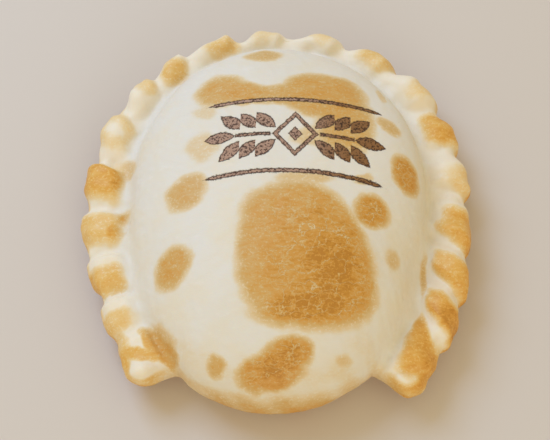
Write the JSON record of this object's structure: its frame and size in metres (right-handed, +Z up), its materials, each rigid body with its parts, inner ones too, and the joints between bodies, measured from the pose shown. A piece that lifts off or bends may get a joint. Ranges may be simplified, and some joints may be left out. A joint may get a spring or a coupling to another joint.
{
  "type": "folded fruit hand pie",
  "caption": "Baked hand pie: one parcel of dough folded over its filling, smooth and domed in front, with a rope-pinched edge round the sides and back.",
  "frame": {"origin": "middle of the pie's box, on the flat underside that it rests on", "axes": "+Z up, -Y towards the smooth front belly between the two ends of the pinched edge, +X to the right as seen from the front"},
  "size_m": [0.1082, 0.1166, 0.036],
  "materials": {
    "baked_crust": "pale baked dough with toasted golden spots, dry and faintly satin"
  },
  "bodies": {
    "root": {"hand_pie": "baked_crust"}
  },
  "joints": []
}
